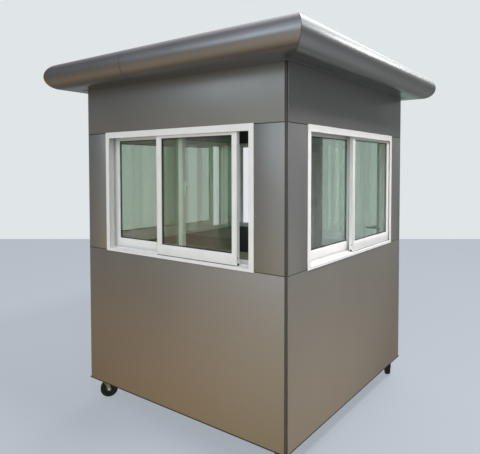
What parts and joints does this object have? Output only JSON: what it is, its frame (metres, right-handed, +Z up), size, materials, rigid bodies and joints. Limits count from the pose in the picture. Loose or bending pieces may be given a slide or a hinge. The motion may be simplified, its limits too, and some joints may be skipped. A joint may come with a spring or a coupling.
{
  "type": "security guard booth",
  "caption": "Small square guard booth in grey panels with sliding windows, a glazed back door, a round-nosed flat roof with wide eaves, and swivel casters.",
  "frame": {"origin": "on the ground under the booth's centre", "axes": "+Z up, front wall with the counter faces -Y, +X to the right seen from the front, door in the back wall"},
  "size_m": [2.24, 2.24, 2.56],
  "materials": {
    "cladding": "satin metallic grey composite panel",
    "corner_post": "matt dark",
    "eaves": "satin metallic grey composite panel, bent round the nose",
    "roof_deck": "satin metallic grey",
    "roof_beam": "primed steel",
    "ceiling": "matt dark grey",
    "base_steel": "black paint",
    "floor": "vinyl sheet on board",
    "window_white": "white powder coat",
    "glass": "clear float glass with a slight green tint",
    "latch": "satin chrome",
    "door_white": "white powder coat",
    "door_panel": "satin metallic grey composite panel",
    "handle": "satin",
    "hinge": "satin",
    "counter": "brown laminate",
    "caster_steel": "yellow zinc plated",
    "tyre": "black rubber"
  },
  "bodies": {
    "cabin": {"back_wall_foot": "cladding", "back_wall_header": "cladding", "back_wall_lower": "cladding", "back_wall_piers": "cladding", "back_wall_upper": "cladding", "back_window_frame": "window_white", "back_window_glass": "glass", "back_window_sashes": "window_white", "base_cross_rails": "base_steel", "base_side_rails": "base_steel", "caster_plates": "caster_steel", "ceiling": "ceiling", "corner_posts": "corner_post", "counter_top": "counter", "door_frame_hinges": "hinge", "door_head_and_threshold": "door_white", "door_jambs": "door_white", "eaves_back": "eaves", "eaves_front": "eaves", "eaves_left": "eaves", "eaves_right": "eaves", "floor_board": "floor", "front_wall_lower": "cladding", "front_wall_piers": "cladding", "front_wall_upper": "cladding", "front_window_frame": "window_white", "front_window_glass": "glass", "front_window_sashes": "window_white", "left_wall_lower": "cladding", "left_wall_piers": "cladding", "left_wall_upper": "cladding", "left_window_frame": "window_white", "left_window_glass": "glass", "left_window_sashes": "window_white", "right_wall_lower": "cladding", "right_wall_piers": "cladding", "right_wall_upper": "cladding", "right_window_frame": "window_white", "right_window_glass": "glass", "right_window_sashes": "window_white", "roof_beams": "roof_beam", "roof_deck": "roof_deck", "window_latches": "latch"},
    "door": {"door_leaf": "door_white", "door_panel": "door_panel", "door_glass": "glass", "door_handles": "handle", "door_leaf_hinges": "hinge"},
    "front_left_caster": {"front_left_caster_fork": "caster_steel"},
    "front_left_wheel": {"front_left_caster_wheel": "tyre"},
    "front_right_caster": {"front_right_caster_fork": "caster_steel"},
    "front_right_wheel": {"front_right_caster_wheel": "tyre"},
    "back_right_caster": {"back_right_caster_fork": "caster_steel"},
    "back_right_wheel": {"back_right_caster_wheel": "tyre"},
    "back_left_caster": {"back_left_caster_fork": "caster_steel"},
    "back_left_wheel": {"back_left_caster_wheel": "tyre"}
  },
  "joints": [
    {"name": "door_hinge", "type": "hinge", "parent": "cabin", "child": "door", "pos_m": [0.1025, 0.831, 1.2], "axis": [0, 0, -1], "range_deg": [0, 90]},
    {"name": "front_left_swivel", "type": "hinge", "parent": "cabin", "child": "front_left_caster", "pos_m": [-0.83, -0.83, 0.158], "axis": [0, 0, 1], "continuous": true},
    {"name": "front_left_roll", "type": "hinge", "parent": "front_left_caster", "child": "front_left_wheel", "pos_m": [-0.80593, -0.79805, 0.065], "axis": [-0.7986, 0.6018, 0], "continuous": true},
    {"name": "front_right_swivel", "type": "hinge", "parent": "cabin", "child": "front_right_caster", "pos_m": [0.83, -0.83, 0.158], "axis": [0, 0, 1], "continuous": true},
    {"name": "front_right_roll", "type": "hinge", "parent": "front_right_caster", "child": "front_right_wheel", "pos_m": [0.81632, -0.86759, 0.065], "axis": [0.9397, -0.342, 0], "continuous": true},
    {"name": "back_right_swivel", "type": "hinge", "parent": "cabin", "child": "back_right_caster", "pos_m": [0.83, 0.83, 0.158], "axis": [0, 0, 1], "continuous": true},
    {"name": "back_right_roll", "type": "hinge", "parent": "back_right_caster", "child": "back_right_wheel", "pos_m": [0.81, 0.86464, 0.065], "axis": [-0.866, -0.5, 0], "continuous": true},
    {"name": "back_left_swivel", "type": "hinge", "parent": "cabin", "child": "back_left_caster", "pos_m": [-0.83, 0.83, 0.158], "axis": [0, 0, 1], "continuous": true},
    {"name": "back_left_roll", "type": "hinge", "parent": "back_left_caster", "child": "back_left_wheel", "pos_m": [-0.81632, 0.86759, 0.065], "axis": [-0.9397, 0.342, 0], "continuous": true}
  ]
}
